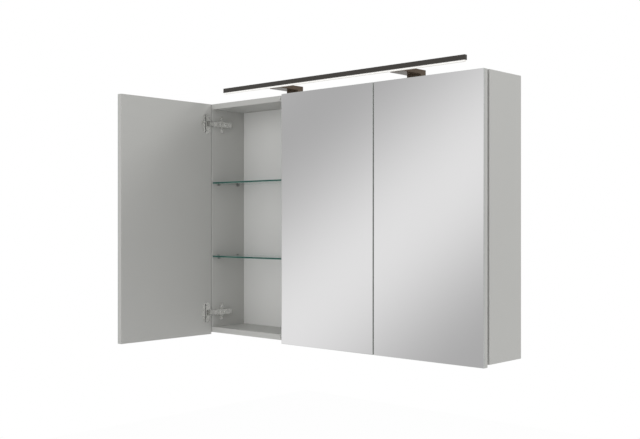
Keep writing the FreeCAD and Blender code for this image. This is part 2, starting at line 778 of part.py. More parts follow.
def make_lamp_arms():
    """Two flat arms from feet on the top panel to the back of the lamp bar."""
    outline = [
        ("lamp_rear", "arm_under"), ("foot_front", "arm_under"), ("foot_front", "top_level"),
        ("foot_rear", "top_level"), ("foot_rear", "arm_over"), ("lamp_rear", "arm_over"),
    ]
    seat_level = number("top_level")
    joint_plane = number("lamp_rear")
    screws = []
    for hand, way in ((LEFT, -1), (RIGHT, 1)):
        name = f"{hand}_lamp_arm"
        body, pad = profile_bar(name + "_blank", outline, "lamp_arm_width")
        soften(body, pad, lambda spot: spot.z > seat_level + TOUCH and spot.y > joint_plane + TOUCH,
               "lamp_arm_rounding")
        middle = f"{way} * arm_place"
        body.setExpression(".Placement.Base.x", bound(middle))
        holes = []
        for end in ENDS:
            tag = f"{name}_screw_{end + 1}"
            centre = (f"{middle} + {end} * lamp_screw_spacing / 2", "foot_middle")
            length = "board_thickness + lamp_screw_bite"
            screws.append(screw(tag, "z", centre, "inner_top", "lamp_screw", length, -1))
            span = ("inner_top", f"inner_top + {length}")
            hole = screw_hole(tag + "_hole", "z", centre, span, "lamp_screw")
            holes.append(hole)
            bore("top_panel", hole)
        keep(cut(name, body, holes), name)
    keep(group("lamp_screws", screws), "lamp_arm_screws")


def make_switch_box():
    """A box under the top panel for the lamp's driver, with a lid below and a rocker in front."""
    wide = ("box_left", "box_right")
    deep = ("box_front", "box_rear")
    inside = [(f"{low} + ({margin})", f"{high} - ({margin})")
              for margin in ("switch_wall", "switch_wall + lid_clearance", "2 * switch_wall")
              for low, high in (wide, deep)]
    shell = slab("box_shell", wide, deep, ("box_bottom + switch_wall", "inner_top"))
    cavity = slab("box_cavity", inside[0], inside[1], ("box_bottom", "box_roof"))
    window = slab("box_window", about("rocker_place", "rocker_width + 2 * rocker_side_gap"),
                  ("box_front", "box_front + switch_wall"),
                  about("box_middle", "rocker_height + 2 * rocker_window_clearance"))
    inlet = rod("box_inlet", "y", ("inlet_place", "box_middle"), ("box_rear - switch_wall", "box_rear"),
                "grommet_bore_radius")
    hollow = cut("box_hollow", shell, [cavity])
    pieces = [hollow]
    front_face = "box_front + switch_wall"
    for hand in (RIGHT, LEFT):
        span = toward(hand, "rocker_place", "bearing_near", "bearing_near + bearing_width")
        pieces.append(slab(f"{hand}_bearing", span, (front_face, f"{front_face} + bearing_depth"),
                           about("box_middle", "bearing_height")))
    bearing_bore = rod("bearing_bore", "x", ("rocker_pivot", "box_middle"),
                       about("rocker_place", "2 * (bearing_near + bearing_width)"),
                       "rocker_pin_radius + rocker_pin_clearance")
    holes = [window, inlet, bearing_bore]
    screws = []
    ends = ((LEFT, "box_left + box_screw_end_distance"), (RIGHT, "box_right - box_screw_end_distance"))
    for hand, place in ends:
        centre = (place, "box_front + switch_box_depth / 2")
        tag = f"{hand}_box_screw"
        length = "switch_wall + box_screw_bite"
        screws.append(screw(tag, "z", centre, "box_roof", "box_screw", length, -1))
        hole = screw_hole(tag + "_hole", "z", centre, ("box_roof", f"box_roof + {length}"), "box_screw")
        holes.append(hole)
        bore("top_panel", hole)
    keep(cut("box", join("box_blank", pieces), holes), "switch_box")
    keep(group("box_screws", screws), "switch_box_screws")

    cover = slab("lid_cover", wide, deep, ("box_bottom", "box_bottom + switch_wall"))
    rim_height = ("box_bottom + switch_wall", "box_bottom + switch_wall + lid_rim_height")
    rim = slab("lid_rim", inside[2], inside[3], rim_height)
    gap = slab("lid_gap", inside[4], inside[5], rim_height)
    keep(cut("lid", join("lid_blank", [cover, rim]), [gap]), "switch_lid")

    driver = slab("driver_block", about("inlet_place", "driver_width"),
                  about("box_front + switch_box_depth / 2", "driver_depth"),
                  ("box_roof - driver_height", "box_roof"))
    keep(driver, "led_driver")


def make_rocker():
    """A rocker with a hollowed front on two pins, resting with its upper half pressed in."""
    outline = [
        ("-rocker_front", "rocker_height / 2"), ("rocker_hollow - rocker_front", "0"),
        ("-rocker_front", "-rocker_height / 2"), ("rocker_back", "-rocker_height / 2"),
        ("rocker_back", "rocker_height / 2"),
    ]
    body, pad = profile_bar("rocker_block", outline, "rocker_width")
    pin = rod("rocker_pin", "x", ("0", "0"), about("0", "rocker_width + 2 * rocker_pin_reach"),
              "rocker_pin_radius")
    rocker = join("rocker", [body, pin])
    rocker.Placement.Rotation = FreeCAD.Rotation(FreeCAD.Vector(1, 0, 0), -size("rocker_tilt"))
    keep(put(rocker, "rocker_place", "rocker_pivot", "box_middle"), "switch_rocker")


def make_grommet():
    """A ring in the back panel for the supply lead, in line with the switch box's inlet."""
    centre = ("inlet_place", "box_middle")
    lip = rod("grommet_lip_ring", "y", centre, ("back_face - grommet_lip", "back_face"), "grommet_radius")
    neck = rod("grommet_neck", "y", centre, ("back_face", "0"), "grommet_neck_radius")
    way = rod("grommet_way", "y", centre, ("back_face - grommet_lip", "0"), "grommet_bore_radius")
    keep(cut("grommet", join("grommet_blank", [lip, neck]), [way]), "cable_grommet")
    bore("back_panel", rod("grommet_hole", "y", centre, ("back_face", "0"),
                           "grommet_neck_radius + hole_clearance"))


def check_document():
    """Stop if any object failed or any sub-part has no sound shape."""
    for item in doc.Objects:
        if "Invalid" in item.State or "Error" in item.State:
            raise RuntimeError(f"{item.Name} failed: {item.State}")
    for piece in subparts:
        if piece.Shape.isNull() or not piece.Shape.isValid() or not piece.Shape.Solids:
            raise RuntimeError(f"{piece.Label} has no sound shape")


def main():
    """Build the cabinet and write one file for each sub-part."""
    fill_sheet("Sizes", SIZES)
    fill_sheet("Places", PLACES, "=")
    make_dowels()
    make_shelves()
    make_hinges()
    for name, door in DOORS.items():
        make_door(name, door)
    make_bumpers()
    make_wall_fixing()
    make_grommet()
    make_lamp_bar()
    make_lamp_arms()
    make_switch_box()
    make_rocker()
    make_panels()
    doc.recompute()
    check_document()
    os.makedirs("parts", exist_ok=True)
    for piece in subparts:
        piece.Shape.exportStep(f"parts/{piece.Label}.step")


main()
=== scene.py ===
"""Bathroom mirror cabinet with a lamp bar: its fine pieces, finishes, light and view.

Metres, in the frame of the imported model: +X to the right, +Y into the wall, +Z up.
"""
import json
import math

import bpy
from mathutils import Matrix, Vector

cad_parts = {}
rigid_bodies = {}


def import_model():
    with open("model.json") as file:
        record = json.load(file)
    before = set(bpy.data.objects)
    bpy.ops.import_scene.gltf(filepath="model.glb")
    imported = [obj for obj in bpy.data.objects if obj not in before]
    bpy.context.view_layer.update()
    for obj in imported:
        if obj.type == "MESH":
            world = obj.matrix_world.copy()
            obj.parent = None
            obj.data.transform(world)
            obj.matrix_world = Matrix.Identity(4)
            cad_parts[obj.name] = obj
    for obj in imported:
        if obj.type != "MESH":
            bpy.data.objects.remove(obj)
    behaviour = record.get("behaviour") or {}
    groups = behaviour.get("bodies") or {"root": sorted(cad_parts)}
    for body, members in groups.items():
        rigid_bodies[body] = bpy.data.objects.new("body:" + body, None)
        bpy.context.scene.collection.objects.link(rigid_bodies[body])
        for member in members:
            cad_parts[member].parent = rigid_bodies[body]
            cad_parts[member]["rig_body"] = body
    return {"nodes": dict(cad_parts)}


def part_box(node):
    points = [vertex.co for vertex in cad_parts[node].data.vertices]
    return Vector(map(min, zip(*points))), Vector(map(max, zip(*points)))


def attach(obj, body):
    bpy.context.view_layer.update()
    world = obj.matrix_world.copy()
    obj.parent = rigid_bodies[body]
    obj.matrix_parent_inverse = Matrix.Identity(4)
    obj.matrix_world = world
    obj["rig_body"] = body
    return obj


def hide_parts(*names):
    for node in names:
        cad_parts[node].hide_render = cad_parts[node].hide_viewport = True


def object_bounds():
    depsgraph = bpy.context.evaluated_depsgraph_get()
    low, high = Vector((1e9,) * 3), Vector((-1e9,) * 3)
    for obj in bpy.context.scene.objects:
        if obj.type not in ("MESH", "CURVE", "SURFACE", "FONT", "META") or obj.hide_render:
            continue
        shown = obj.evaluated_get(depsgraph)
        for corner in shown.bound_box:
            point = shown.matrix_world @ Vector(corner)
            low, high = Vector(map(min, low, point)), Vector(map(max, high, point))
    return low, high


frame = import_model()
CAD_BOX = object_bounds()

bl_info = {
    "name": "Mirror cabinet",
    "version": (1, 0, 0),
    "blender": (4, 5, 0),
    "location": "View3D > Sidebar > Cabinet",
    "description": "Fine pieces, finishes, light and view of a bathroom mirror cabinet",
    "category": "Object",
}

DOORS = ("left_door", "middle_door", "right_door")
CARCASS_BOARDS = (
    "left_side", "right_side", "top_panel", "bottom_panel", "left_partition", "right_partition",
)
BAYS = ("left", "middle", "right")
LEVELS = ("lower", "upper")
SHELVES = tuple(f"{bay}_{level}_shelf" for bay in BAYS for level in LEVELS)
HINGES = tuple(f"{door}_{level}_hinge" for door in DOORS for level in LEVELS)
SCREW_GROUPS = {
    "hinge_plate_screws": "carcass",
    "hinge_arm_screws": "carcass",
    "lamp_arm_screws": "carcass",
    "switch_box_screws": "carcass",
    "left_door_cup_screws": "left_door",
    "middle_door_cup_screws": "middle_door",
    "right_door_cup_screws": "right_door",
}
AXES = (Vector((1, 0, 0)), Vector((0, 1, 0)), Vector((0, 0, 1)))
UP = AXES[2]
# Metres within which points count as one, lie on a plane or belong to an end
MERGED = 0.00001
ON_PLANE = 0.000001
AT_END = 0.0001
# Share of a unit normal along a direction from which a face counts as facing that way
FACING = 0.99
# Angles between faces below which they are one plane, and above which their edge is rounded
ONE_PLANE = math.radians(0.5)
SHARP = math.radians(40)
ROUND_SIDES = 40
# Rounding of a door stop's front, as a share of its radius
STOP_ROUNDING = 0.36
# Material slots of the pieces that have more than one
SILVER, SILVER_RIM, MIRROR_EDGE = range(3)
CLEAR, FRONT_EDGE, ARRIS = range(3)
PLATED, SHADED = range(2)
# Colour sockets of a Mix node
MIX_FIRST, MIX_SECOND, MIX_RESULT = 6, 7, 2
# Millimetres and metres of the camera
SENSOR_WIDTH = 36
VIEW_REACH = 60


def colour(name, description, default):
    """A colour that the user can change."""
    return bpy.props.FloatVectorProperty(
        name=name, description=description, subtype="COLOR", size=3, min=0, max=1, default=default)


def length(name, description, default):
    """A length that the user can change."""
    return bpy.props.FloatProperty(
        name=name, description=description, default=default, min=0, precision=5, unit="LENGTH")


def share(name, description, default, highest=1.0):
    """A plain number that the user can change."""
    return bpy.props.FloatProperty(
        name=name, description=description, default=default, min=0, max=highest, precision=3)


def power(name, description, default):
    """The power of a light that the user can change."""
    return bpy.props.FloatProperty(
        name=name, description=description, default=default, min=0, unit="POWER")


def position(name, description, default):
    """A place that the user can change."""
    return bpy.props.FloatVectorProperty(
        name=name, description=description, subtype="XYZ", unit="LENGTH", size=3, default=default)


class CabinetFinishes(bpy.types.PropertyGroup):
    """Colours of the cabinet's materials."""

    board: colour("Board", "Coat of the carcass and door boards", (0.545, 0.545, 0.525))
    board_roughness: share("Board roughness", "Roughness of the boards' coat", 0.46)
    mirror: colour("Mirror", "Silver behind the mirror glass", (0.945, 0.94, 0.945))
    # Partly painted light: the back panel's coat is paler than the boards, for the light that reaches into
    # the bays
    back: colour("Back panel", "Coat of the back panel", (0.78, 0.78, 0.765))
    mirror_edge: colour("Mirror edge", "Ground edge of the mirror glass", (0.52, 0.54, 0.52))
    glass: colour("Glass", "Clear faces of the shelves", (0.965, 0.988, 0.981))
    glass_edge: colour("Glass edge", "Polished front edges of the shelves", (0.010, 0.062, 0.050))
    # Partly painted light: the ground glass's own pale tint, lightened for the light and reflections along
    # the shelves' borders and side and rear edges
    glass_arris: colour("Glass arris", "Borders and other edges of the shelves", (0.26, 0.47, 0.41))
    nickel: colour("Nickel", "Plating of the hinges and plates", (0.69, 0.69, 0.67))
    # Painted shade: the groove colour darkens the pressed groove along the hinge cups' flanges
    groove: colour("Groove", "Shaded groove along the flanges of the hinge cups", (0.17, 0.17, 0.165))
    pin: colour("Shelf pin", "Dull plating of the shelf pins", (0.36, 0.36, 0.35))
    screw: colour("Zinc", "Plating of the screws and wall plates", (0.90, 0.90, 0.88))
    # Painted shade: the recess colour darkens the screws' cross recesses
    recess: colour("Screw recess", "Shaded cross recess of the screws", (0.06, 0.06, 0.058))
    lamp: colour("Lamp metal", "Dark anodised lamp bar", (0.050, 0.044, 0.038))
    # Partly painted light: the arms' own brown, made lighter and warmer for the lamp's light on them
    arm: colour("Arm metal", "Brown polished lamp arms", (0.128, 0.095, 0.070))
    light: colour("Lamp light", "Light through the diffuser", (1.0, 0.97, 0.93))
    light_strength: share("Lamp strength", "Brightness of the diffuser", 0.33, 20.0)
    plastic: colour("Plastic", "Switch box, lid and rocker", (0.74, 0.74, 0.72))
    rubber: colour("Rubber", "Grommet in the back panel", (0.045, 0.045, 0.047))
    bumper: colour("Bumper", "Milky soft stops behind the doors", (0.60, 0.60, 0.58))
    beech: colour("Beech", "Dowels between the boards", (0.52, 0.36, 0.21))


class CabinetSizes(bpy.types.PropertyGroup):
    """Small sizes of the fine pieces."""

    edge_band: length("Edge band", "Thickness of the strips on the boards' edges", 0.001)
    seam: length("Seam", "Half the width of the joint line beside an edge strip", 0.00014)
    mirror_arris: length("Mirror arris", "Width of the ground border of a mirror", 0.0006)
    silver_border: length("Silver border", "Width of the darker rim of the silver", 0.0009)
    glass_arris: length("Glass arris", "Width of the slanted border of a shelf", 0.0008)
    press_rounding: length("Pressed edge", "Rounding of the pressed steel pieces", 0.00035)
    groove_width: length("Groove width", "Width of the groove along a hinge cup's flange", 0.0028)
    groove_depth: length("Groove depth", "Depth of the groove along a hinge cup's flange", 0.0009)
    groove_margin: length("Groove margin", "Distance of the groove from the flange's ends", 0.004)
    groove_offset: length("Groove offset", "Distance of the groove from the line of the screws", 0.002)
    cap_rounding: length("Cap edge", "Rounding of the lamp bar's end caps", 0.0004)
    moulded_rounding: length("Moulded edge", "Rounding of the plastic pieces", 0.0009)
    recess_width: share("Recess width", "Cross recess of a screw, as a share of the head's radius", 0.27)
    recess_depth: share("Recess depth", "Cross recess of a screw, as a share of the head's height", 0.7)


class CabinetStage(bpy.types.PropertyGroup):
    """Floor, light and view."""

    floor_drop: length("Floor drop", "Height of the origin above the floor", 1.9)
    floor_size: length("Floor size", "Side of the square floor", 9.0)
    floor: colour("Floor", "Pale floor", (0.86, 0.86, 0.86))
    room_light: share("Room light", "Even light from all round", 0.655, 5.0)
    floor_glow: share("Floor glow", "Brightness of the floor to the eye", 1.06, 5.0)
    floor_share: share("Floor share", "Share of the glow in the floor's look", 0.85)
    key_power: power("Key light", "Large soft light in front", 23)
    key_place: position("Key place", "Place of the light in front", (0, -3.4, 0.5))
    key_size: length("Key size", "Side of the light in front", 2.4)
    rim_power: power("Rim light", "Soft light behind on the right", 46)
    rim_place: position("Rim place", "Place of the light behind", (3.3, 2.0, 2.0))
    rim_size: length("Rim size", "Side of the light behind", 1.3)
    band_low: share("Reflection low", "Darkest tone that the mirrors see", 0.425)
    band_high: share("Reflection high", "Lightest tone that the mirrors see", 0.785)
    band_floor: share("Reflected floor", "Tone of the floor that the mirrors see", 0.62)
    band_slant: bpy.props.FloatVectorProperty(
        name="Reflection slant", description="Direction across the bands that the mirrors see",
        subtype="DIRECTION", size=3, default=(-0.5166, 0.4183, 0.7469))
    band_rate: share("Reflection rate", "How closely the bands follow each other", 19.85, 100.0)
    band_start: share("Reflection start", "Shift of the bands", 0.37, 10.0)
    eye: position("Camera", "Place of the camera", (1.7103, -2.03807, -0.30615))
    turn: bpy.props.FloatProperty(
        name="Camera turn", description="Turn of the camera about the vertical",
        unit="ROTATION", default=0.745)
    lens: bpy.props.FloatProperty(
        name="Lens", description="Focal length on a 36 mm sensor", unit="CAMERA", default=53.317)
    rise: share("Rise", "Upward shift of the picture", 0.00415)


class Socket:
    """An output in a node tree. Arithmetic on it adds Math nodes."""

    def __init__(self, graph, output):
        self.graph = graph
        self.output = output

    def beside(self, name):
        """Another output of the same node."""
        return Socket(self.graph, self.output.node.outputs[name])

    def math(self, operation, *values):
        """A Math node on these values."""
        return self.graph.node("ShaderNodeMath", {"operation": operation}, dict(enumerate(values)))

    def __add__(self, other):
        return self.math("ADD", self, other)

    def __radd__(self, other):
        return self.math("ADD", other, self)

    def __sub__(self, other):
        return self.math("SUBTRACT", self, other)

    def __rsub__(self, other):
        return self.math("SUBTRACT", other, self)

    def __mul__(self, other):
        return self.math("MULTIPLY", self, other)

    def __rmul__(self, other):
        return self.math("MULTIPLY", other, self)

    def __lt__(self, other):
        return self.math("LESS_THAN", self, other)

    def __abs__(self):
        return self.math("ABSOLUTE", self)


class Graph:
    """A node tree that is built from Python."""

    def __init__(self, tree):
        self.tree = tree

    def node(self, kind, settings=None, inputs=None, output=0):
        """Add a node, set it up, feed its sockets and return one of its outputs."""
        made = self.tree.nodes.new(kind)
        for key, value in (settings or {}).items():
            setattr(made, key, value)
        for key, value in (inputs or {}).items():
            self.feed(made.inputs[key], value)
        return Socket(self, made.outputs[output])

    def feed(self, socket, value):
        """Link an output to a socket, or set the socket's own value, a colour's as opaque."""
        if isinstance(value, Socket):
            self.tree.links.new(value.output, socket)
        elif socket.type == "RGBA":
            socket.default_value = (*value, 1)
        else:
            socket.default_value = value

    def blend(self, factor, first, second):
        """A colour between two, by a factor."""
        inputs = {"Factor": factor, MIX_FIRST: first, MIX_SECOND: second}
        return self.node("ShaderNodeMix", {"data_type": "RGBA"}, inputs, MIX_RESULT)


class Finish(Graph):
    """A material under construction, with its shader and the place on the piece."""

    def __init__(self, name):
        self.material = bpy.data.materials.new(name)
        self.material.use_nodes = True
        super().__init__(self.material.node_tree)
        self.shader = self.tree.nodes["Principled BSDF"]
        self.place = self.node("ShaderNodeTexCoord", output="Object")

    def noise(self, scale, detail=2.0, stretch=(1, 1, 1)):
        """Noise over the piece, with features of about one over the scale in metres."""
        place = self.place
        if tuple(stretch) != (1, 1, 1):
            place = self.node("ShaderNodeMapping", None, {"Vector": place, "Scale": stretch})
        return self.node("ShaderNodeTexNoise", None, {"Vector": place, "Scale": scale, "Detail": detail})

    def axis(self, letter):
        """One coordinate of the place on the piece."""
        return self.node("ShaderNodeSeparateXYZ", None, {0: self.place}, letter)

    def bump(self, height, distance, strength):
        """A normal that a height map raises."""
        inputs = {"Height": height, "Distance": distance, "Strength": strength}
        return self.node("ShaderNodeBump", None, inputs)

    def set(self, **values):
        """Feed the shader, with its sockets' names in small letters and underscores."""
        names = {socket.name.lower().replace(" ", "_"): socket for socket in self.shader.inputs}
        for key, value in values.items():
            self.feed(names[key], value)
        return self.material


def scaled(tone, amount):
    """A colour made lighter or darker."""
    return tuple(min(1.0, value * amount) for value in tone)


def coated_board(name, tone, seams):
    """A fine-grained coat in one colour, with thin joint lines of the edge strips at the seams."""
    finishes = bpy.context.scene.cabinet_finishes
    half_width = bpy.context.scene.cabinet_sizes.seam
    finish = Finish(name)
    cloud = finish.noise(scale=5, detail=3)
    grain = finish.noise(scale=1400)
    plain = finish.blend(cloud, scaled(tone, 0.975), scaled(tone, 1.025))
    fleck = finish.blend(grain, scaled(tone, 0.94), scaled(tone, 1.06))
    coat = finish.blend(0.35, plain, fleck)
    line = 0.0
    for letter, place in seams:
        line = (abs(finish.axis(letter) - place) < half_width) + line
    if seams:
        coat = finish.blend(line.math("MINIMUM", line, 1.0) * 0.3, coat, scaled(tone, 0.55))
    return finish.set(
        base_color=coat,
        roughness=finishes.board_roughness + 0.12 * (grain - 0.5),
        normal=finish.bump(grain, distance=0.00004, strength=0.35),
        specular_ior_level=0.4,
    )


def silver_mirror(name, amount=1.0):
    """Silver behind clear glass, with the faintest haze left by wiping."""
    finishes = bpy.context.scene.cabinet_finishes
    finish = Finish(name)
    tone = scaled(tuple(finishes.mirror), amount)
    haze = finish.noise(scale=9, detail=4, stretch=(1, 1, 0.35))
    return finish.set(
        base_color=finish.blend(haze, scaled(tone, 0.988), tone),
        metallic=1.0,
        roughness=0.012 + 0.02 * haze,
    )


def ground_glass(name, tone, roughness, polish):
    """A glass edge seen from outside: a deep tint under a polished or ground surface."""
    finish = Finish(name)
    streak = finish.noise(scale=420, detail=3, stretch=(0.15, 0.15, 1))
    return finish.set(
        base_color=finish.blend(streak, scaled(tone, 0.85), scaled(tone, 1.18)),
        roughness=roughness + 0.10 * (streak - 0.5),
        specular_ior_level=polish,
    )


def clear_glass(name):
    """Clear glass with a trace of green."""
    finishes = bpy.context.scene.cabinet_finishes
    finish = Finish(name)
    wiped = finish.noise(scale=14, detail=3)
    tone = tuple(finishes.glass)
    return finish.set(
        base_color=finish.blend(wiped, scaled(tone, 0.99), tone),
        roughness=0.004 + 0.02 * wiped,
        transmission_weight=1.0,
        ior=1.5,
    )


def plated_steel(name, tone, roughness, grain_scale=260):
    """Pressed and plated steel: a soft satin with fine drawing marks."""
    finish = Finish(name)
    marks = finish.noise(scale=grain_scale, detail=4, stretch=(1, 0.3, 1))
    cloud = finish.noise(scale=45)
    return finish.set(
        base_color=finish.blend(cloud, scaled(tone, 0.90), scaled(tone, 1.08)),
        metallic=0.8,
        roughness=roughness + 0.12 * (marks - 0.5) + 0.05 * cloud,
        normal=finish.bump(marks, distance=0.00002, strength=0.1),
    )


def anodised_metal(name, tone, sheen, roughness, relief, gloss):
    """Dark anodised aluminium with a tinted sheen, brushed along its length."""
    finish = Finish(name)
    brush = finish.noise(scale=900, detail=3, stretch=(0.012, 1, 1))
    cloud = finish.noise(scale=12)
    worn = finish.blend(brush, scaled(tone, 0.82), scaled(tone, 1.2))
    return finish.set(
        base_color=finish.blend(cloud * 0.4, worn, scaled(tone, 0.86)),
        metallic=0.1,
        roughness=roughness + 0.14 * roughness * (brush - 0.5),
        normal=finish.bump(brush, distance=0.00002, strength=relief),
        specular_ior_level=gloss,
        specular_tint=sheen,
    )


def lit_diffuser(name):
    """Opal plastic lit from inside, a little dimmer towards its two ends."""
    finishes = bpy.context.scene.cabinet_finishes
    finish = Finish(name)
    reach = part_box("lamp_diffuser")[1].x
    along = abs(finish.axis("X"))
    fade = finish.node("ShaderNodeMapRange", None, {
        "Value": along.math("SMOOTH_MIN", along, reach, 0.01),
        "From Min": reach * 0.94,
        "From Max": reach,
        "To Min": 0.0,
        "To Max": 0.22,
    })
    tone = tuple(finishes.light)
    return finish.set(
        base_color=finish.blend(fade, (0.9, 0.9, 0.88), (0.8, 0.8, 0.78)),
        roughness=0.5 + 0.1 * finish.noise(scale=700),
        emission_color=finish.blend(fade, tone, scaled(tone, 0.7)),
        emission_strength=finishes.light_strength,
    )


def light_strip(name):
    """A white board with a row of small yellow lamps."""
    finish = Finish(name)
    lamps_per_metre = 60.0
    half_lamp = 0.13
    half_breadth = 0.0015
    middle_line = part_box("led_board")[0].y + 0.0025
    along = finish.axis("X") * lamps_per_metre
    beat = along.math("FRACT", along)
    chip = (abs(beat - 0.5) < half_lamp) * (abs(finish.axis("Y") - middle_line) < half_breadth)
    return finish.set(
        base_color=finish.blend(chip, (0.80, 0.81, 0.79), (0.85, 0.66, 0.16)),
        roughness=0.45 - 0.2 * chip,
    )


def moulded_plastic(name, tone, roughness, grain_scale):
    """Moulded plastic or rubber with a fine spark-eroded grain."""
    finish = Finish(name)
    spark = finish.noise(scale=grain_scale, detail=3)
    cloud = finish.noise(scale=20)
    return finish.set(
        base_color=finish.blend(cloud, scaled(tone, 0.95), scaled(tone, 1.04)),
        roughness=roughness + 0.14 * (spark - 0.5),
        normal=finish.bump(spark, distance=0.00004, strength=0.4),
    )


def soft_milky(name):
    """Milky soft plastic of the door stops."""
    finish = Finish(name)
    cloud = finish.noise(scale=300)
    tone = tuple(bpy.context.scene.cabinet_finishes.bumper)
    return finish.set(
        base_color=finish.blend(cloud, scaled(tone, 0.94), scaled(tone, 1.05)),
        roughness=0.22 + 0.1 * cloud,
    )


def turned_wood(name):
    """Beech with short dark flecks along the grain."""
    finish = Finish(name)
    tone = tuple(bpy.context.scene.cabinet_finishes.beech)
    fleck = finish.noise(scale=700, detail=3, stretch=(0.2, 1, 0.2))
    grain = finish.noise(scale=120, detail=4, stretch=(0.15, 1, 0.15))
    base = finish.blend(grain, scaled(tone, 0.82), scaled(tone, 1.12))
    return finish.set(
        base_color=finish.blend(fleck * 0.35, base, scaled(tone, 0.5)),
        roughness=0.62 + 0.1 * (grain - 0.5),
        normal=finish.bump(grain, distance=0.00008, strength=0.4),
    )


def deselect():
    """Leave edit mode with nothing selected."""
    active = bpy.context.view_layer.objects.active
    if active and active.mode != "OBJECT":
        bpy.ops.object.mode_set(mode="OBJECT")
    bpy.ops.object.select_all(action="DESELECT")


def take(piece):
    """Make a piece the only selected one and the active one."""
    deselect()
    piece.select_set(True)
    bpy.context.view_layer.objects.active = piece
    return piece


def settle(piece):
    """Put the place, turn and scale of a piece into its mesh."""
    take(piece)
    bpy.ops.object.transform_apply(location=True, rotation=True, scale=True)
    return piece


def block(name, low, high):
    """A box between two corners, to be shaped further."""
    deselect()
    low, high = Vector(low), Vector(high)
    bpy.ops.mesh.primitive_cube_add(size=1, location=(low + high) / 2)
    piece = bpy.context.object
    piece.name = name
    piece.scale = high - low
    return settle(piece)


def drum(name, radius, height):
    """An upright round bar that stands on the origin, to be shaped further."""
    deselect()
    bpy.ops.mesh.primitive_cylinder_add(
        vertices=ROUND_SIDES, radius=radius, depth=height, location=(0, 0, height / 2))
    piece = bpy.context.object
    piece.name = name
    return settle(piece)


def choose_faces(piece, wanted):
    """Go into edit mode with the faces selected that a test on centre and normal wants."""
    take(piece)
    bpy.context.tool_settings.mesh_select_mode = (False, False, True)
    bpy.ops.object.mode_set(mode="EDIT")
    bpy.ops.mesh.select_all(action="DESELECT")
    bpy.ops.object.mode_set(mode="OBJECT")
    for face in piece.data.polygons:
        face.select = wanted(face.center, face.normal)
    bpy.ops.object.mode_set(mode="EDIT")


def round_rim(piece, wanted, width, segments):
    """Round the edges round the faces that a test wants."""
    choose_faces(piece, wanted)
    bpy.ops.mesh.region_to_loop()
    bpy.ops.mesh.bevel(offset=width, segments=segments, affect="EDGES")
    bpy.ops.object.mode_set(mode="OBJECT")


def round_all(piece, width, segments=2):
    """Round every edge of a piece."""
    take(piece)
    bpy.context.tool_settings.mesh_select_mode = (False, True, False)
    bpy.ops.object.mode_set(mode="EDIT")
    bpy.ops.mesh.select_all(action="SELECT")
    bpy.ops.mesh.bevel(offset=width, segments=segments, affect="EDGES")
    bpy.ops.object.mode_set(mode="OBJECT")


def carve(piece, cutter):
    """Cut a piece with another, which goes away."""
    take(piece)
    recess = piece.modifiers.new("recess", "BOOLEAN")
    recess.operation = "DIFFERENCE"
    recess.solver = "EXACT"
    recess.object = cutter
    bpy.ops.object.modifier_apply(modifier=recess.name)
    bpy.data.objects.remove(cutter)


def smooth(piece, degrees=32):
    """Shade a piece smooth, apart from its sharp edges, and keep its flat faces flat."""
    take(piece)
    bpy.ops.object.shade_smooth_by_angle(angle=math.radians(degrees))
    even = piece.modifiers.new("even", "WEIGHTED_NORMAL")
    even.keep_sharp = True
    bpy.ops.object.modifier_apply(modifier=even.name)


def coat(piece, *materials):
    """Give a piece its materials, in the order of their slots."""
    piece.data.materials.clear()
    for material in materials:
        piece.data.materials.append(material)


def hand_over(piece, body, slot, *nodes):
    """Let a finished piece ride on its body and stand for its CAD nodes."""
    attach(piece, body)
    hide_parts(*nodes)


def body_of(node):
    """The body that a CAD node belongs to."""
    return frame["nodes"][node]["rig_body"]


def rounded_copy(node, width, segments=2):
    """A copy of a CAD node whose sharp edges are rounded."""
    source = frame["nodes"][node]
    piece = bpy.data.objects.new("fine_" + node, source.data.copy())
    bpy.context.scene.collection.objects.link(piece)
    take(piece)
    bpy.ops.object.mode_set(mode="EDIT")
    bpy.ops.mesh.select_all(action="SELECT")
    bpy.ops.mesh.remove_doubles(threshold=MERGED)
    bpy.ops.mesh.dissolve_limited(angle_limit=ONE_PLANE)
    bpy.ops.object.mode_set(mode="OBJECT")
    bevel = piece.modifiers.new("rounding", "BEVEL")
    bevel.limit_method = "ANGLE"
    bevel.angle_limit = SHARP
    bevel.width = width
    bevel.segments = segments
    bevel.use_clamp_overlap = False
    bpy.ops.object.modifier_apply(modifier=bevel.name)
    smooth(piece)
    return piece


def solids_of(node):
    """The points of each separate solid of a CAD node."""
    mesh = frame["nodes"][node].data
    numbers = {}
    owner = []
    for vertex in mesh.vertices:
        key = tuple(round(value, 6) for value in vertex.co)
        owner.append(numbers.setdefault(key, len(numbers)))
    roots = list(range(len(numbers)))

    def root(index):
        while roots[index] != index:
            index = roots[index]
        return index

    for face in mesh.polygons:
        first, *others = (root(owner[vertex]) for vertex in face.vertices)
        for other in others:
            roots[root(other)] = root(first)
    groups = {}
    for key, index in numbers.items():
        groups.setdefault(root(index), []).append(Vector(key))
    return sorted(groups.values(), key=lambda points: tuple(points[0]))


def box_of(points):
    """Lowest and highest corner of some points."""
    low = Vector(min(point[axis] for point in points) for axis in range(3))
    high = Vector(max(point[axis] for point in points) for axis in range(3))
    return low, high


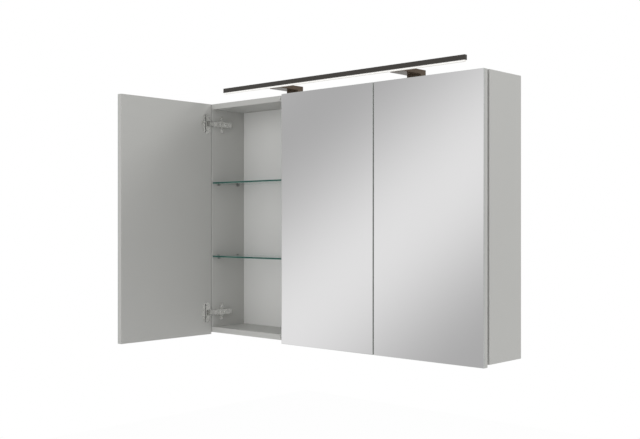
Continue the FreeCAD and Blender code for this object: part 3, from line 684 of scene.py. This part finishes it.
class ScrewShape:
    """Where a CAD screw sits, which way its head points and how large it is."""

    # Shares of the head's height, the shank's length, its radius and the head's radius
    DOME = 0.42
    STRAIGHT = 0.8
    TIP = 0.25
    RECESS_REACH = 0.66

    def __init__(self, points):
        low, high = box_of(points)
        middle = (low + high) / 2
        extent = high - low
        along = max(range(3), key=lambda axis: extent[axis])
        way = AXES[along]

        def out(point):
            arm = point - middle
            return (arm - way * arm.dot(way)).length

        self.head_radius = max(out(point) for point in points)
        rim = [point[along] for point in points if out(point) > 0.97 * self.head_radius]
        head_low, head_high = min(rim), max(rim)
        self.head_height = head_high - head_low
        upward = head_high > high[along] - AT_END
        self.way = way if upward else -way
        self.seat = middle.copy()
        self.seat[along] = head_low if upward else head_high
        self.shank_length = extent[along] - self.head_height
        tip = low[along] if upward else high[along]
        self.shank_radius = max(out(point) for point in points if abs(point[along] - tip) < AT_END)

    def placed(self):
        """The matrix from an upright screw on the origin to this one."""
        turn = UP.rotation_difference(self.way)
        return Matrix.Translation(self.seat) @ turn.to_matrix().to_4x4()


def model_screw(name, shape, sizes, steel, shaded):
    """An upright pan-head screw: a domed head on a pointed shank, with painted shade in its cross recess.
    """
    radius, height = shape.head_radius, shape.head_height
    piece = drum(name, radius, height)
    coat(piece, steel, shaded)
    round_rim(piece, lambda centre, normal: normal.z > FACING, shape.DOME * height, segments=4)
    choose_faces(piece, lambda centre, normal: normal.z < -FACING)
    bpy.ops.mesh.inset(thickness=radius - shape.shank_radius)
    shaft = shape.STRAIGHT * shape.shank_length
    for drop in (shaft, shape.shank_length - shaft):
        bpy.ops.mesh.extrude_region_move(TRANSFORM_OT_translate={"value": (0, 0, -drop)})
    bpy.ops.transform.resize(value=(shape.TIP, shape.TIP, 1))
    bpy.ops.object.mode_set(mode="OBJECT")
    half = sizes.recess_width * radius / 2
    blade = shape.RECESS_REACH * radius
    floor = height * (1 - sizes.recess_depth)
    for reach, breadth in ((blade, half), (half, blade)):
        carve(piece, block("recess_blade", (-reach, -breadth, floor), (reach, breadth, 1.5 * height)))
    # Paint the shade onto the walls and floor of the cross recess
    for face in piece.data.polygons:
        inside = Vector(face.center[:2]).length < blade + MERGED
        wall = abs(face.normal.z) < 1 - FACING and face.center.z > floor
        sunk = face.normal.z > FACING and abs(face.center.z - floor) < MERGED
        face.material_index = SHADED if inside and (wall or sunk) else PLATED
    smooth(piece)
    return piece


def copied(piece, matrix):
    """A copy of a piece with a mesh of its own, moved by a matrix."""
    twin = bpy.data.objects.new(piece.name, piece.data.copy())
    bpy.context.scene.collection.objects.link(twin)
    twin.data.transform(matrix)
    return twin


def joined(name, pieces):
    """Several pieces as one."""
    take(pieces[0])
    for piece in pieces:
        piece.select_set(True)
    if len(pieces) > 1:
        bpy.ops.object.join()
    pieces[0].name = name
    return pieces[0]


class CABINET_OT_boards(bpy.types.Operator):
    """Coat the carcass and door boards, with the joint lines of their edge strips"""

    bl_idname = "cabinet.boards"
    bl_label = "Coat the boards"

    def execute(self, context):
        band = context.scene.cabinet_sizes.edge_band
        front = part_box("left_side")[0].y
        finishes = context.scene.cabinet_finishes
        tone = tuple(finishes.board)
        carcass = coated_board("carcass_coat", tone, [("Y", front + band)])
        for node in CARCASS_BOARDS:
            coat(frame["nodes"][node], carcass)
        # The back panel's paler coat is partly painted light inside the bays
        coat(frame["nodes"]["back_panel"], coated_board("back_coat", tuple(finishes.back), []))
        for door in DOORS:
            low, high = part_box(door + "_board")
            thin = min(range(3), key=lambda axis: (high - low)[axis])
            seams = []
            for axis, letter in enumerate("XYZ"):
                if axis != thin:
                    seams += [(letter, low[axis] + band), (letter, high[axis] - band)]
            coat(frame["nodes"][door + "_board"], coated_board(door + "_coat", tone, seams))
        coat(frame["nodes"]["carcass_dowels"], turned_wood("dowel_beech"))
        return {"FINISHED"}


class CABINET_OT_mirrors(bpy.types.Operator):
    """Model the three mirrors, with ground edges and a thin darker rim of the silver"""

    bl_idname = "cabinet.mirrors"
    bl_label = "Make the mirrors"

    def execute(self, context):
        sizes = context.scene.cabinet_sizes
        finishes = context.scene.cabinet_finishes
        silver = silver_mirror("mirror_silver")
        rim = silver_mirror("mirror_rim", amount=0.95)
        edge = ground_glass("mirror_edge", tuple(finishes.mirror_edge), roughness=0.4, polish=0.2)
        for door in DOORS:
            node = door + "_mirror"
            low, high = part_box(node)
            board_low, board_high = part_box(door + "_board")
            thin = min(range(3), key=lambda axis: (high - low)[axis])
            outward = (low + high)[thin] - (board_low + board_high)[thin]
            front = AXES[thin] * math.copysign(1, outward)
            piece = block("fine_" + node, low, high)
            round_all(piece, sizes.mirror_arris, segments=3)
            choose_faces(piece, lambda centre, normal: normal.dot(front) > FACING)
            bpy.ops.mesh.inset(thickness=sizes.silver_border)
            bpy.ops.object.mode_set(mode="OBJECT")
            coat(piece, silver, rim, edge)
            faces = piece.data.polygons
            plane = max(face.center.dot(front) for face in faces) - ON_PLANE
            largest = max(face.area for face in faces if face.center.dot(front) > plane)
            for face in faces:
                if face.center.dot(front) <= plane:
                    face.material_index = MIRROR_EDGE
                elif face.area < largest:
                    face.material_index = SILVER_RIM
                else:
                    face.material_index = SILVER
            smooth(piece, degrees=20)
            hand_over(piece, door, "mirror", node)
        return {"FINISHED"}


class CABINET_OT_shelves(bpy.types.Operator):
    """Model the six glass shelves with polished tinted edges, and round their pins"""

    bl_idname = "cabinet.shelves"
    bl_label = "Make the shelves"

    def execute(self, context):
        sizes = context.scene.cabinet_sizes
        finishes = context.scene.cabinet_finishes
        clear = clear_glass("shelf_glass")
        edge = ground_glass("shelf_edge", tuple(finishes.glass_edge), roughness=0.2, polish=0.25)
        # The lighter arris tint is partly painted light and reflection on the glass borders
        arris = ground_glass("shelf_arris", tuple(finishes.glass_arris), roughness=0.25, polish=0.25)
        for node in SHELVES:
            low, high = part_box(node)
            piece = block("fine_" + node, low, high)
            round_all(piece, sizes.glass_arris, segments=2)
            coat(piece, clear, edge, arris)
            for face in piece.data.polygons:
                if abs(face.normal.z) > FACING:
                    face.material_index = CLEAR
                elif face.normal.y < -FACING:
                    face.material_index = FRONT_EDGE
                else:
                    face.material_index = ARRIS
            smooth(piece)
            piece.visible_shadow = False
            hand_over(piece, "carcass", "glass", node)
        pins = rounded_copy("shelf_pins", sizes.press_rounding)
        coat(pins, plated_steel("pin_nickel", tuple(finishes.pin), roughness=0.4))
        hand_over(pins, "carcass", "nickel_steel", "shelf_pins")
        return {"FINISHED"}


class CABINET_OT_hinges(bpy.types.Operator):
    """Round the pressed steel of the hinge plates, arms and cups, and plate them, the cups with a lighter
    painted highlight and painted shade in their grooves
    """

    bl_idname = "cabinet.hinges"
    bl_label = "Make the hinges"

    def execute(self, context):
        sizes = context.scene.cabinet_sizes
        finishes = context.scene.cabinet_finishes
        tone = tuple(finishes.nickel)
        nickel = plated_steel("hinge_nickel", tone, roughness=0.24)
        # Painted highlight: the cups get a copy of the hinge nickel a fifth lighter
        cup_highlight_nickel = plated_steel("cup_nickel", scaled(tone, 1.2), roughness=0.24)
        # Painted shade: a dark copy of the nickel for the grooves in the cups
        dark = plated_steel("groove_nickel", tuple(finishes.groove), roughness=0.5)
        for node in [f"{hinge}_{part}" for hinge in HINGES for part in ("plate", "arm")]:
            piece = rounded_copy(node, sizes.press_rounding)
            coat(piece, nickel)
            hand_over(piece, "carcass", "nickel_steel", node)
        for door in DOORS:
            node = door + "_hinge_cups"
            piece = rounded_copy(node, sizes.press_rounding)
            coat(piece, cup_highlight_nickel, dark)
            for points in solids_of(node):
                self.press_groove(piece, door, *box_of(points), sizes)
            smooth(piece)
            hand_over(piece, door, "nickel_steel", node)
            coat(frame["nodes"][door + "_hinge_pins"], nickel)
        return {"FINISHED"}

    def press_groove(self, piece, door, low, high, sizes):
        """Press a groove along one cup's flange, beside the screws on the side of the door's middle, and
        paint shade into its sunk faces.
        """
        board = sum(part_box(door + "_board"), Vector()) / 2
        mirror = sum(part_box(door + "_mirror"), Vector()) / 2
        middle = (low + high) / 2
        thin = 0 if high.x - low.x < high.y - low.y else 1
        inward = math.copysign(1, board[thin] - mirror[thin])
        aside = math.copysign(1, board[1 - thin] - middle[1 - thin])
        face = high[thin] if inward > 0 else low[thin]
        first = Vector((0, 0, low.z + sizes.groove_margin))
        last = Vector((0, 0, high.z - sizes.groove_margin))
        first[thin] = face - inward * sizes.groove_depth
        last[thin] = face + inward * sizes.groove_depth
        first[1 - thin] = middle[1 - thin] + aside * sizes.groove_offset
        last[1 - thin] = first[1 - thin] + aside * sizes.groove_width
        low, high = box_of([first, last])
        carve(piece, block("groove_tool", low, high))
        # Paint the shade onto the groove's sunk faces
        for polygon in piece.data.polygons:
            spot = polygon.center
            sunk = (face - spot[thin]) * inward > MERGED
            if sunk and all(low[axis] - MERGED < spot[axis] < high[axis] + MERGED for axis in range(3)):
                polygon.material_index = SHADED


class CABINET_OT_screws(bpy.types.Operator):
    """Model one cross-recess screw for each group of screws and copy it to every place"""

    bl_idname = "cabinet.screws"
    bl_label = "Make the screws"

    def execute(self, context):
        sizes = context.scene.cabinet_sizes
        finishes = context.scene.cabinet_finishes
        steel = plated_steel("screw_zinc", tuple(finishes.screw), roughness=0.3, grain_scale=500)
        # Painted shade for the screws' cross recesses
        shaded = plated_steel("screw_recess", tuple(finishes.recess), roughness=0.5, grain_scale=500)
        for node, body in SCREW_GROUPS.items():
            shapes = [ScrewShape(points) for points in solids_of(node)]
            model = model_screw("fine_" + node, shapes[0], sizes, steel, shaded)
            pieces = [copied(model, shape.placed()) for shape in shapes]
            bpy.data.objects.remove(model)
            group = joined("fine_" + node, pieces)
            hand_over(group, body, "screw_steel", node)
        return {"FINISHED"}


class CABINET_OT_fittings(bpy.types.Operator):
    """Make the soft door stops, the plates for the wall screws and the lead's grommet"""

    bl_idname = "cabinet.fittings"
    bl_label = "Make the fittings"

    def execute(self, context):
        sizes = context.scene.cabinet_sizes
        finishes = context.scene.cabinet_finishes
        turn = UP.rotation_difference(-AXES[1]).to_matrix().to_4x4()
        stops = []
        for points in solids_of("door_bumpers"):
            low, high = box_of(points)
            middle = (low + high) / 2
            radius = (high.x - low.x) / 2
            stop = drum("door_stop", radius, high.y - low.y)
            round_rim(stop, lambda centre, normal: normal.z > FACING, STOP_ROUNDING * radius, segments=4)
            smooth(stop)
            stop.data.transform(Matrix.Translation((middle.x, high.y, middle.z)) @ turn)
            stops.append(stop)
        group = joined("fine_door_bumpers", stops)
        coat(group, soft_milky("stop_milky"))
        hand_over(group, "carcass", "rubber", "door_bumpers")
        plates = rounded_copy("hanger_plates", sizes.press_rounding)
        zinc = plated_steel("hanger_zinc", tuple(finishes.screw), roughness=0.34, grain_scale=180)
        coat(plates, zinc)
        hand_over(plates, "carcass", "nickel_steel", "hanger_plates")
        grommet = rounded_copy("cable_grommet", sizes.moulded_rounding / 2, segments=3)
        rubber = moulded_plastic("grommet_rubber", tuple(finishes.rubber), roughness=0.62, grain_scale=900)
        coat(grommet, rubber)
        hand_over(grommet, "carcass", "rubber", "cable_grommet")
        return {"FINISHED"}


class CABINET_OT_lamp(bpy.types.Operator):
    """Finish the lamp bar, its arms and its light"""

    bl_idname = "cabinet.lamp"
    bl_label = "Finish the lamp"

    def execute(self, context):
        finishes = context.scene.cabinet_finishes
        metal = anodised_metal(
            "lamp_anodised", tuple(finishes.lamp),
            sheen=(1, 1, 1), roughness=0.32, relief=0.3, gloss=0.5)
        coat(frame["nodes"]["lamp_housing"], metal)
        # The arms' own brown, made lighter and warmer and given a warm sheen, as painted light from the
        # lamp
        polished = anodised_metal(
            "arm_anodised", tuple(finishes.arm),
            sheen=(1, 0.93, 0.84), roughness=0.2, relief=0.05, gloss=0.25)
        for node in ("left_lamp_arm", "right_lamp_arm"):
            coat(frame["nodes"][node], polished)
        caps = rounded_copy("lamp_end_caps", context.scene.cabinet_sizes.cap_rounding)
        coat(caps, metal)
        hand_over(caps, "carcass", "dark_chrome", "lamp_end_caps")
        coat(frame["nodes"]["lamp_diffuser"], lit_diffuser("lamp_opal"))
        coat(frame["nodes"]["led_board"], light_strip("lamp_strip"))
        return {"FINISHED"}


class CABINET_OT_switch(bpy.types.Operator):
    """Round and finish the switch box, its lid, the rocker and the driver"""

    bl_idname = "cabinet.switch"
    bl_label = "Make the switch"

    def execute(self, context):
        sizes = context.scene.cabinet_sizes
        tone = tuple(context.scene.cabinet_finishes.plastic)
        plastic = moulded_plastic("switch_plastic", tone, roughness=0.42, grain_scale=1100)
        for node, width in (
            ("switch_box", sizes.moulded_rounding / 2),
            ("switch_lid", sizes.moulded_rounding / 2),
            ("switch_rocker", sizes.moulded_rounding / 2),
            ("led_driver", sizes.moulded_rounding),
        ):
            piece = rounded_copy(node, width, segments=3)
            coat(piece, plastic)
            hand_over(piece, body_of(node), "white_plastic", node)
        return {"FINISHED"}


class CABINET_OT_stage(bpy.types.Operator):
    """Set the pale floor, the soft light and the camera"""

    bl_idname = "cabinet.stage"
    bl_label = "Set the stage"

    def execute(self, context):
        stage = context.scene.cabinet_stage
        context.scene.view_settings.view_transform = "Standard"
        self.lay_floor(stage)
        self.light_room(context.scene, stage)
        self.hang_light("key_light", stage.key_place, stage.key_size, stage.key_power)
        self.hang_light("rim_light", stage.rim_place, stage.rim_size, stage.rim_power)
        deselect()
        bpy.ops.object.camera_add(location=stage.eye, rotation=(math.pi / 2, 0, stage.turn))
        camera = context.object
        camera.name = "view"
        camera.data.sensor_width = SENSOR_WIDTH
        camera.data.lens = stage.lens
        camera.data.shift_y = stage.rise
        camera.data.clip_end = VIEW_REACH
        context.scene.camera = camera
        return {"FINISHED"}

    def lay_floor(self, stage):
        """A pale floor that is nearly white to the eye and still takes a shadow."""
        deselect()
        bpy.ops.mesh.primitive_plane_add(size=stage.floor_size, location=(0, 0, -stage.floor_drop))
        floor = settle(bpy.context.object)
        floor.name = "floor"
        finish = Finish("floor_paint")
        rays = finish.node("ShaderNodeLightPath", output="Is Camera Ray")
        seen = rays.math("MAXIMUM", rays, rays.beside("Is Glossy Ray"))
        seen = seen.math("MAXIMUM", seen, rays.beside("Is Transmission Ray"))
        tone = tuple(stage.floor)
        cloud = finish.noise(scale=3)
        finish.set(base_color=finish.blend(cloud, scaled(tone, 0.99), tone), roughness=0.9)
        light = finish.blend(rays.beside("Is Glossy Ray"), (1, 1, 1), (stage.band_floor,) * 3)
        glow = finish.node("ShaderNodeEmission", None, {"Color": light, "Strength": stage.floor_glow})
        paint = Socket(finish, finish.shader.outputs["BSDF"])
        mixed = finish.node("ShaderNodeMixShader", None, {0: seen * stage.floor_share, 1: paint, 2: glow})
        finish.feed(finish.tree.nodes["Material Output"].inputs["Surface"], mixed)
        coat(floor, finish.material)

    def light_room(self, scene, stage):
        """Even light from all round, white to the eye, in soft slanting bands for the mirrors."""
        world = bpy.data.worlds.new("studio")
        scene.world = world
        world.use_nodes = True
        graph = Graph(world.node_tree)
        way = graph.node("ShaderNodeTexCoord", output="Generated")
        slant = {0: way, 1: stage.band_slant}
        across = graph.node("ShaderNodeVectorMath", {"operation": "DOT_PRODUCT"}, slant, "Value")
        phase = across * stage.band_rate + stage.band_start
        band = 0.5 + 0.5 * phase.math("COSINE", phase)
        softbox = graph.blend(band, (stage.band_low,) * 3, (stage.band_high,) * 3)
        rays = graph.node("ShaderNodeLightPath", output="Is Camera Ray")
        white = rays.math("MAXIMUM", rays, rays.beside("Is Transmission Ray"))
        seen = graph.blend(white, (stage.room_light,) * 3, (1, 1, 1))
        seen = graph.blend(rays.beside("Is Glossy Ray"), seen, softbox)
        background = world.node_tree.nodes["Background"]
        graph.feed(background.inputs["Color"], seen)
        background.inputs["Strength"].default_value = 1.0

    def hang_light(self, name, place, size, strength):
        """A soft light that faces the middle of the cabinet."""
        deselect()
        middle = sum(CAD_BOX, Vector()) / 2
        turn = (middle - Vector(place)).to_track_quat("-Z", "Y").to_euler()
        bpy.ops.object.light_add(type="AREA", location=place, rotation=turn)
        lamp = bpy.context.object
        lamp.name = name
        lamp.data.size = size
        lamp.data.energy = strength
        lamp.visible_glossy = False


class VIEW3D_PT_cabinet(bpy.types.Panel):
    """Steps and settings of the mirror cabinet"""

    bl_label = "Mirror cabinet"
    bl_idname = "VIEW3D_PT_cabinet"
    bl_space_type = "VIEW_3D"
    bl_region_type = "UI"
    bl_category = "Cabinet"

    def draw(self, context):
        for settings in SETTINGS:
            group = getattr(context.scene, settings)
            box = self.layout.box()
            for key in group.bl_rna.properties.keys():
                if key not in ("rna_type", "name"):
                    box.prop(group, key)
        for step in STEPS:
            self.layout.operator(step.bl_idname)


STEPS = (
    CABINET_OT_boards,
    CABINET_OT_mirrors,
    CABINET_OT_shelves,
    CABINET_OT_hinges,
    CABINET_OT_screws,
    CABINET_OT_fittings,
    CABINET_OT_lamp,
    CABINET_OT_switch,
    CABINET_OT_stage,
)
SETTINGS = {
    "cabinet_finishes": CabinetFinishes,
    "cabinet_sizes": CabinetSizes,
    "cabinet_stage": CabinetStage,
}


def register():
    """Make the settings, the steps and the panel known."""
    for group in SETTINGS.values():
        bpy.utils.register_class(group)
    for key, group in SETTINGS.items():
        setattr(bpy.types.Scene, key, bpy.props.PointerProperty(type=group))
    for step in (*STEPS, VIEW3D_PT_cabinet):
        bpy.utils.register_class(step)


def unregister():
    """Take away what register added."""
    for step in (VIEW3D_PT_cabinet, *reversed(STEPS)):
        bpy.utils.unregister_class(step)
    for key in SETTINGS:
        delattr(bpy.types.Scene, key)
    for group in reversed(SETTINGS.values()):
        bpy.utils.unregister_class(group)


def main():
    """Run every step in order."""
    register()
    bpy.ops.cabinet.boards()
    bpy.ops.cabinet.mirrors()
    bpy.ops.cabinet.shelves()
    bpy.ops.cabinet.hinges()
    bpy.ops.cabinet.screws()
    bpy.ops.cabinet.fittings()
    bpy.ops.cabinet.lamp()
    bpy.ops.cabinet.switch()
    bpy.ops.cabinet.stage()


if __name__ == "__main__":
    main()
